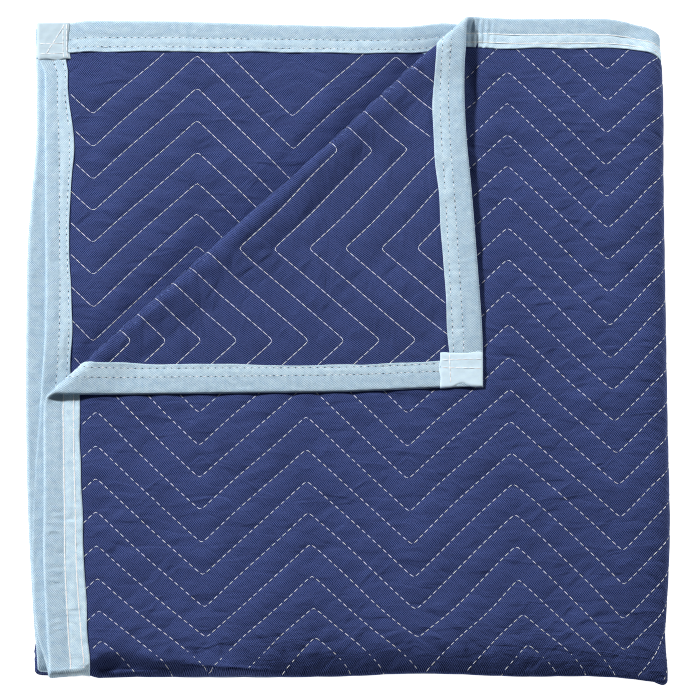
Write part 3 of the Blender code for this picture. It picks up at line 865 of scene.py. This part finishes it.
def panel_grid():
    """Flat (u, v) places, row numbers and cells of the panel.

    Its lines follow the quilting, and run straight along the front fold. They are close together where they
    show, and merge inside the stack.
    """
    fine = ZIGZAG_LENGTH / 2 / COLUMNS_A_RUN
    ends = -PAST_ENDS, CLOTH_LENGTH + PAST_ENDS
    first, last = (math.floor((end - FIRST_PEAK_U) / fine) for end in ends)
    number = np.arange(first, last + 1)
    columns = (FIRST_PEAK_U + fine * number)[:, None]
    merged = np.round(number / MERGED_COLUMNS).astype(int) * MERGED_COLUMNS
    kept_column = np.clip(merged - first, 0, len(columns) - 1)

    front, back = (quilting_band(columns, *rows) for rows in QUILTING_BANDS)
    bands = front, fold_band(columns), back
    starts = np.cumsum([0] + [band[0].shape[1] for band in bands])
    u, v, row = (np.concatenate([band[k] for band in bands], axis=1) for k in range(3))
    kept_row = np.concatenate([band[3] + start for band, start in zip(bands, starts)])

    turning = np.min([np.abs(columns[:, 0] - place) for place in TIGHT_FOLDS], axis=0) < TIGHT_REACH
    kept_column = np.where(np.isin(kept_column, kept_column[turning]), np.arange(len(columns)), kept_column)
    block = kept_column[:, None] * len(kept_row) + kept_row
    rough = np.bincount(block.ravel(), ~hidden(u, v).ravel())[block] == 0
    i, j = np.indices(v.shape)
    kept = np.where(rough, kept_column[i], i), np.where(rough, kept_row[j], j)
    u = np.clip(u[kept], EDGE_GAP, CLOTH_LENGTH - EDGE_GAP)
    v = np.clip(v[kept], EDGE_GAP, CLOTH_WIDTH - EDGE_GAP)

    places = np.round(np.column_stack([u.ravel(), v.ravel()]), 7)
    places, first_of, index = np.unique(places, axis=0, return_index=True, return_inverse=True)
    cells = []
    for quad in grid_quads(index.reshape(u.shape)).tolist():
        ring = [p for k, p in enumerate(quad) if p != quad[k - 1]]
        if len(set(ring)) == len(ring) >= 3:
            cells.append(tuple(ring))
    return places, row[kept].ravel()[first_of], cells


def beyond_crease(u, y):
    """How far beyond the crease a place lies in y, before the corner is turned over."""
    return y - TOP_END_X - u - CREASE_OFFSET


def hidden(u, v):
    """Whether a place on the cloth is inside the stack."""
    past_fold = v - FRONT_FOLD_V
    behind = beyond_crease(u, FRONT_Y + past_fold) > SHOWN_BEYOND
    return ~((u < SHOWN_U) & ((past_fold < SHOWN_PAST_FOLD) | behind))


def quilted_panel():
    """The quilted cloth, with each place's distance along and across its slanting rows, and its looseness."""
    places, row, cells = panel_grid()
    u, v = places.T
    flat, faces = two_sided(places, cells, [side * half_thickness(u, v, row, side) for side in (1, -1)])
    panel = folded_piece("blanket_panel", flat, faces, quilted_cloth())
    across = ZIGZAG_LENGTH / 2 * zigzag(u) / ZIGZAG_ROWS
    loose = 1 - (1 - row_gap(row)) ** LOOSENESS
    quilt = np.column_stack([(v + across) / math.sqrt(2), (v - across) / math.sqrt(2), loose])
    add_attribute(panel, "quilt", np.tile(quilt, (2, 1)))
    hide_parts("quilted_panel")
    return panel


def tape_profile():
    """Across a tape, from its face hem to its back hem.

    Each row is a side, a section between its seams, how far through that it is, how far in from the edge, the
    height of the outside and the share of lighter tone; less of it near the edge is partly painted shade, and
    more at the very edge is a painted highlight.
    """
    rows = {1: [], -1: []}
    parts = [(i, k / count) for i, count in enumerate(SECTION_PARTS) for k in range(count)] + [(2, 1.0)]
    for side, seams in TAPE_KNOTS.items():
        knots = (0.0, *seams)
        for i, t in parts:
            d = knots[i] + (knots[i + 1] - knots[i]) * t
            if i == 0:
                height = TAPE_HIGH * quarter_round(d / EDGE_ROUND) - SEWN_DIP * ramp(t, 0.75, 1.0)
            elif i == 1:
                height = TAPE_HIGH - SEWN_DIP + SEAM_PUFF * math.sin(math.pi * t)
            else:
                height = TAPE_HIGH - SEWN_DIP + SEWN_DIP * math.sin(math.pi / 2 * t)
            # The lighter tone inward of the first seam; the darker band outside it is partly painted shade
            light = LIGHT_SHARE[side] * ramp(d, seams[0] - ZONE_BLUR, seams[0] + ZONE_BLUR)
            # A painted highlight along the folded edge
            light = light + PAINTED_EDGE_HIGHLIGHT * fade(d, 0.0, PAINTED_HIGHLIGHT_REACH)
            rows[side].append((side, i, t, d, height, light))
    return rows[1][::-1] + rows[-1][1:]


def tape_steps(node_name):
    """Places along a tape, close together at its ends, round tight folds and where it shows."""
    length, (fine_from, fine_to) = EDGES[node_name][3:]
    round_folds = length > CLOTH_WIDTH
    first = 0.0 if round_folds else END_TAPE_SETBACK
    last = length - first
    at = [first]
    while at[-1] < last:
        to_fold = min(abs(at[-1] - fold_at) for fold_at in TIGHT_FOLDS)
        to_end = min(at[-1] - first, last - at[-1])
        if to_end < TAPE_END_REACH or round_folds and to_fold < TAPE_TIGHT_REACH:
            step = TIGHT_STEP
        elif fine_from <= at[-1] < fine_to:
            step = FINE_STEP
        else:
            step = min(COARSE_STEP, max(last - TAPE_END_REACH - at[-1], TIGHT_STEP))
        at.append(at[-1] + step)
    return np.array(at[:-1] + [last])


def beside_edge(node_name, at, inset, height):
    """Flat (u, v, h) points along an edge of the cloth and inward from it."""
    start, along, inward, *_ = EDGES[node_name]
    return np.column_stack([start + np.outer(at, along) + np.outer(inset, inward), height])


def tape(node_name, material):
    """A binding tape, folded round one edge of the cloth."""
    at = tape_steps(node_name)
    shut = quarter_round(np.maximum(np.minimum(at - at[0], at[-1] - at) / SHUT_RUN, SHUT_LEAST))
    seed = len(node_name)
    outer, inner, light = [], [], []
    for side, i, t, d, height, share in tape_profile():
        seams = TAPE_KNOTS[side]
        wide = d / seams[2]
        lines = (0.0 * at, *tape_lines(node_name, side, at))
        wobble = HEM_WOBBLE * ripple(at, side, 0.05, seed + 11) * ramp(wide, 0.6, 1.0)
        inset = np.maximum(lines[i] + (lines[i + 1] - lines[i]) * t + wobble, 0.0)
        slack = 1 - HELD_SHARE * sum(bump_at(d, seam, HELD_REACH) for seam in seams[:2])
        wrinkle = ripple(at, 0.25 * d * side, 0.0042, seed + 20) * (0.7 + 0.5 * ripple(at, 0.0, 0.06, seed))
        lift = TAPE_WRINKLE * wrinkle * ease(wide * 4) * slack + TAPE_WAVE * ripple(at, d, 0.016, seed + 5)
        if node_name == "binding_upper_side":
            folds = np.sin(2 * math.pi * (at + 0.1 * d) / GATHER_LENGTH)
            lift = lift + GATHER_RISE * bump_at(at, *GATHER_PLACE) * slack * folds
        outer_height = (height + lift * ease(wide * 5)) * shut
        inner_height = max(height - TAPE_THICK, 0.0) * shut
        outer.append(beside_edge(node_name, at, inset, side * outer_height))
        inner.append(beside_edge(node_name, at, np.maximum(inset, TAPE_THICK), side * inner_height))
        light.append(share)
    flat, faces = closed_sheet(np.array(outer), np.array(inner))
    piece = folded_piece(node_name + "_tape", flat, faces, material)
    # The share of the lighter tone, with its painted shade near the edge and its painted highlight at the
    # edge
    add_attribute(piece, "tone_and_painted_light", np.tile(np.repeat(light, len(at)), 2))
    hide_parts(node_name)
    return piece


def corner_patch(name, corner, toward, size, notch, brightness_and_painted_shade):
    """A smooth lap of tape, sewn down over the corner on the back side."""
    places = np.linspace(0, 1, PATCH_POINTS)
    s, t = np.meshgrid(places, places, indexing="ij")
    out_u, out_v = notch * (1 - s) * bump_at(t, 0.50, 0.16) - PATCH_LAP, -PATCH_LAP
    along_u = out_u + s * (size[0] - out_u + PATCH_LAP * ripple(t, 0.0, 0.5, 31))
    along_v = out_v + t * (size[1] - out_v + PATCH_LAP * ripple(s, 0.0, 0.5, 32))
    rim = quarter_round(np.minimum(along_u - out_u, along_v - out_v) / PATCH_RIM)
    inner = np.minimum(size[0] - along_u, size[1] - along_v)
    height = (PATCH_HIGH + PATCH_WRINKLE * ripple(along_u, along_v, 0.010, 33)) * rim
    height = height + PATCH_BULGE * ease(inner / PATCH_BULGE_RUN)
    u, v = corner[0] + toward[0] * along_u, corner[1] + toward[1] * along_v
    heights = height, np.maximum(height - PATCH_THICK, FLOOR_CLEAR)
    flat, faces = closed_sheet(*(np.stack([u, v, -h], axis=-1) for h in heights))
    # The back patch's darker brightness is painted shade
    cloth = smooth_tape(name + "_patch_tape", *brightness_and_painted_shade)
    return folded_piece(name + "_corner_patch", flat, faces, cloth)


def stitches(name, lines, side, material, shown, pitch, dash, radius, lift=0.00025, plump=0.8):
    """Stitches along flat polylines of (u, v, h) points, on one side of the cloth."""
    starts, middles, ends = [], [], []
    for line in lines:
        gone = np.concatenate([[0.0], np.cumsum(np.hypot(*np.diff(line[:, :2], axis=0).T))])
        begin = np.arange(FIRST_STITCH * pitch, gone[-1] - dash, pitch)
        for found, offset in ((starts, 0.0), (middles, dash / 2), (ends, dash)):
            found.append(np.column_stack([np.interp(begin + offset, gone, column) for column in line.T]))
    starts, middles, ends = (np.concatenate(found) for found in (starts, middles, ends))
    keep = shown(middles[:, 0], middles[:, 1])
    starts, middles, ends = starts[keep], middles[keep], ends[keep]
    end_lift = STITCH_ENDS[dash >= CLOSE_DASH * pitch]
    for points, rise in ((starts, end_lift), (middles, lift), (ends, end_lift)):
        points[:, 2] = side * (points[:, 2] + rise)
    a, m, b = fold(starts), fold(middles), fold(ends)
    ahead = b - a
    ahead /= np.linalg.norm(ahead, axis=1)[:, None]
    up = fold(middles + (0.0, 0.0, side * 0.001)) - m + (0.0, 0.0, side * 1e-7)
    up -= ahead * np.sum(up * ahead, axis=1)[:, None]
    up /= np.linalg.norm(up, axis=1)[:, None]
    beside = np.cross(ahead, up)
    rings = []
    for share_a, share_m, share_b, size in STITCH_RINGS:
        centre = share_a * a + share_m * m + share_b * b
        for k in range(STITCH_SIDES):
            turn = 2 * math.pi * (k + 0.5) / STITCH_SIDES
            rings.append(centre + radius * size * (plump * math.cos(turn) * up + math.sin(turn) * beside))
    points = np.stack([a, *rings, b], axis=1)
    each = points.shape[1]
    first, second, third = (1 + STITCH_SIDES * ring for ring in range(3))
    around = [(k, (k + 1) % STITCH_SIDES) for k in range(STITCH_SIDES)]
    caps = [(0, first + after, first + k) for k, after in around]
    caps += [(each - 1, third + k, third + after) for k, after in around]
    quads = []
    for low, high in ((first, second), (second, third)):
        quads += [(low + k, low + after, high + after, high + k) for k, after in around]
    base = (np.arange(len(points)) * each)[:, None, None]
    faces = (base + np.array(caps)).reshape(-1, 3).tolist() + (base + np.array(quads)).reshape(-1, 4).tolist()
    return add_piece(name, points.reshape(-1, 3), faces, material)


def quilting_lines(side, u_from, u_to):
    """Flat polylines of the quilting rows between two places along the cloth."""
    along = np.arange(u_from, u_to, 0.0005)
    lines = []
    for row in range(-4, LAST_ROW + 1):
        u, v = on_cloth(along, row)
        height = half_thickness(u, np.clip(v, 0.0, CLOTH_WIDTH), np.full(len(u), row), side)
        lines.append(np.column_stack([u, v, height]))
    return lines


def binding_lines(side, later=0.0):
    """Flat polylines of the stitches that hold the four tapes, on one side."""
    lines = []
    for node_name, edge in EDGES.items():
        at = np.arange(SEAM_END_GAP + later, edge[3] - SEAM_END_GAP, 0.001)
        for inset in tape_lines(node_name, side, at)[:2]:
            lines.append(beside_edge(node_name, at, inset, np.full(len(at), TAPE_SEAM_HEIGHT)))
    return lines


def patch_lines(corner, toward, seams):
    """Flat polylines of the stitches across a corner patch."""
    lines = []
    for seam in seams:
        uv = corner + np.linspace(seam[:2], seam[2:], 60) * toward
        lines.append(np.column_stack([uv, np.full(60, PATCH_SEAM_HEIGHT)]))
    return lines


def top_shows(u, v):
    """Whether stitches on the face side show on the top layer."""
    return (inside_hems(u, v, 1) > HEM_CLEAR) & (v < FRONT_FOLD_V) & (u < TOP_STITCHES_U)


def under_shows(u, v):
    """Whether stitches on the face side show from below."""
    under = (u >= TOP_STITCHES_U) & (u < UNDER_STITCHES_U) & (v < FRONT_FOLD_V - UNDER_STITCHES_GAP)
    return (inside_hems(u, v, 1) > HEM_CLEAR) & under


def back_shows(u, v):
    """Whether stitches on the back side show, on the second layer or on the turned-over corner."""
    past_fold = v - FRONT_FOLD_V
    under = beyond_crease(u, FRONT_Y + past_fold) > BACK_STITCHES_BEYOND
    turned = beyond_crease(u, FRONT_Y - past_fold) > TURNED_STITCHES_BEYOND
    shows = (past_fold > BACK_STITCHES_PAST_FOLD) & under | (past_fold < 0) & turned
    return (inside_hems(u, v, -1) > HEM_CLEAR) & (u < BACK_STITCHES_U) & shows


def tape_shows(u, v):
    return u < TAPE_STITCHES_U


def corner_patches():
    """The two corner patches, and the stitches across them."""
    patches = [corner_patch(name, *row[:5]) for name, row in PATCHES.items()]
    white = thread("patch_thread", dark=(0.90, 0.94, 1.0))
    for name, (corner, toward, _, _, _, radius, seams) in PATCHES.items():
        lines = patch_lines(corner, toward, seams)
        patches.append(stitches(name + "_patch_stitches", lines, -1, white, tape_shows, pitch=0.0046,
                                dash=0.0046, radius=radius, lift=0.0002, plump=0.4))
    return patches


def stitching():
    """Every row of stitches through the cloth and its binding, and dark dashes of painted shade for the
    needle holes beside them.
    """
    white = thread("stitching_thread", dark=(0.84, 0.90, 0.97))
    bright = thread("binding_thread", dark=(0.94, 0.97, 1.0))
    # Dark navy dashes: painted shade in the needle holes beside the back stitches
    hole_shade = thread("needle_hole_shade", dark=(0.035, 0.06, 0.12), light=(0.10, 0.16, 0.26))
    # Name, lines, side, thread, where they show, and then pitch, dash, radius, lift and plumpness
    rows = (
        ("quilting_top", quilting_lines(1, 0.01, 0.50), 1, white, top_shows, 0.0053, 0.0045, 0.00028),
        ("quilting_under", quilting_lines(1, 0.48, 0.91), 1, white, under_shows, 0.0053, 0.0035, 0.00031),
        ("quilting_back", quilting_lines(-1, 0.0, 0.45), -1, white, back_shows, 0.0053, 0.0051, 0.00026),
        ("binding_face_stitches", binding_lines(1), 1, bright, tape_shows, 0.0048, 0.0056, 0.00055, 0.00042,
         0.35),
        ("binding_back_stitches", binding_lines(-1), -1, white, tape_shows, 0.0051, 0.0020, 0.00034),
        # Painted shade of the needle holes
        ("binding_back_holes", binding_lines(-1, HOLES_LATER), -1, hole_shade, tape_shows, 0.0051, 0.0014, 0.00046,
         0.00012),
    )
    return [stitches(*row) for row in rows]


def add_camera():
    data = bpy.data.cameras.new("camera")
    data.lens = 217.54
    data.sensor_width = 36.0
    camera = add_object("camera", data)
    raised = math.radians(66.5)
    target, distance = Vector((0.00099, -0.01113, 0.027)), 3.07
    camera.location = target + distance * Vector((0.0, -math.cos(raised), math.sin(raised)))
    camera.rotation_euler = (math.pi / 2 - raised, 0.0, 0.0)
    bpy.context.scene.camera = camera


def add_light(name, place, target, size, power):
    data = bpy.data.lights.new(name, "AREA")
    data.shape = "DISK"
    data.size = size
    data.energy = power
    lamp = add_object(name, data)
    lamp.location = place
    lamp.rotation_euler = (Vector(target) - Vector(place)).to_track_quat("-Z", "Y").to_euler()


def add_studio():
    """A dim white world, two lamps and a white floor."""
    world = bpy.data.worlds.new("studio")
    world.use_nodes = True
    background = world.node_tree.nodes["Background"]
    background.inputs["Color"].default_value = (1.0, 1.0, 1.0, 1.0)
    background.inputs["Strength"].default_value = 0.08
    bpy.context.scene.world = world
    add_light("key", place=(-2.48, 2.08, 2.50), target=(0.0, 0.0, 0.0), size=0.70, power=207.0)
    add_light("right", place=(1.85, 0.80, 0.58), target=(0.1, 0.0, 0.0), size=0.9, power=20.0)

    _, shade = nodes_for("white_floor")
    material = shade({
        "Base Color": (0.22, 0.22, 0.22, 1.0),
        "Roughness": 1.0,
        "Specular IOR Level": 0.0,
        "Emission Color": (1.0, 1.0, 1.0, 1.0),
        "Emission Strength": 1.0,
    })
    mesh = bpy.data.meshes.new("floor")
    far, low = 6.0, -0.0005
    corners = [(-far, -far, low), (far, -far, low), (far, far, low), (-far, far, low)]
    mesh.from_pydata(corners, [], [(0, 1, 2, 3)])
    mesh.materials.append(material)
    floor = add_object("floor", mesh)
    floor.visible_glossy = False


def main():
    add_camera()
    add_studio()
    bpy.context.scene.view_settings.view_transform = "Standard"
    bpy.context.scene.cycles.filter_width = 1.0
    panel = quilted_panel()
    tape_cloth = binding_tape()
    pieces = [tape(node_name, tape_cloth) for node_name in EDGES] + corner_patches() + stitching()


main()
